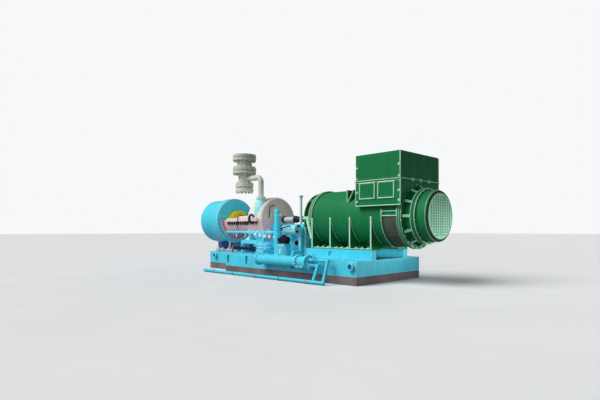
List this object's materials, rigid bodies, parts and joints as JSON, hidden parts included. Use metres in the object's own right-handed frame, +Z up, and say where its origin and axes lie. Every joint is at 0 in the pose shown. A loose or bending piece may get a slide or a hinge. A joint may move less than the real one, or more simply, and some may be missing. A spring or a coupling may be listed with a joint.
{
  "type": "steam turbine generator",
  "caption": "Skid-mounted steam turbine set: a foot-mounted generator with terminal box, coupled through a spacer shaft to a turbine with an exhaust drum, on a channel skid and plinth",
  "frame": {"origin": "on the plinth's underside, under the shaft, at the middle of the wide skid", "axes": "+X along the shaft towards the generator, -Y the front with the oil cooler, +Z up"},
  "size_m": [8.02, 2.7039, 3.143],
  "materials": {
    "concrete": "rough cast",
    "cyan_paint": "satin enamel",
    "pale_cyan_paint": "satin enamel",
    "green_paint": "satin enamel",
    "pale_green_paint": "satin enamel",
    "screen_mesh": "woven wire",
    "winding_varnish": "varnished",
    "dark_steel": "oiled",
    "pale_steel": "turned",
    "casing_primer": "matt primer",
    "casing_cladding": "matt heat-proof paint",
    "grey_cladding": "matt cladding",
    "yellow_paint": "satin enamel",
    "black_paint": "satin enamel",
    "navy_paint": "satin enamel"
  },
  "bodies": {
    "root": {"plinth": "concrete", "skid_beam_front": "cyan_paint", "skid_beam_rear": "cyan_paint", "skid_end_plate": "cyan_paint", "skid_cross_plate": "cyan_paint", "tongue_beam_front": "cyan_paint", "tongue_beam_rear": "cyan_paint", "tongue_end_plate": "cyan_paint", "deck_plate": "cyan_paint", "lifting_pipe_generator_end": "cyan_paint", "lifting_pipe_turbine_end": "cyan_paint", "generator_beam_front": "cyan_paint", "generator_beam_rear": "cyan_paint", "generator_barrel": "green_paint", "generator_foot_front": "green_paint", "generator_foot_rear": "green_paint", "air_screen": "screen_mesh", "drive_end_ring": "green_paint", "drive_end_cage": "green_paint", "stator_winding": "winding_varnish", "fan_ring": "green_paint", "exciter_housing": "green_paint", "exciter_grille": "pale_green_paint", "terminal_box_base": "green_paint", "terminal_box_hood": "green_paint", "terminal_covers_front": "green_paint", "terminal_covers_rear": "green_paint", "lifting_lugs": "green_paint", "bearing_pedestal": "cyan_paint", "bearing_cap": "casing_cladding", "casing_support": "cyan_paint", "casing_lower": "casing_primer", "casing_upper": "casing_cladding", "gland_cap": "yellow_paint", "exhaust_drum": "cyan_paint", "exhaust_end_wall": "cyan_paint", "exhaust_head": "cyan_paint", "exhaust_posts": "pale_steel", "exhaust_saddle": "navy_paint", "steam_chest": "pale_cyan_paint", "inlet_pipe": "grey_cladding", "drip_leg": "grey_cladding", "stop_valve": "grey_cladding", "oil_reservoir": "cyan_paint", "oil_pump_stand": "cyan_paint", "oil_pump_motor": "black_paint", "oil_strainer": "pale_cyan_paint", "oil_accumulator": "cyan_paint", "oil_filters": "cyan_paint", "oil_header": "cyan_paint", "oil_cooler": "cyan_paint", "oil_cooler_head": "cyan_paint", "water_pipe": "cyan_paint"},
    "rotor": {"generator_shaft": "dark_steel", "coupling_spacer": "pale_steel", "turbine_shaft": "dark_steel"}
  },
  "joints": [
    {"name": "shaft_spin", "type": "hinge", "parent": "root", "child": "rotor", "pos_m": [-0.93, 0, 1.36], "axis": [1, 0, 0], "continuous": true}
  ]
}
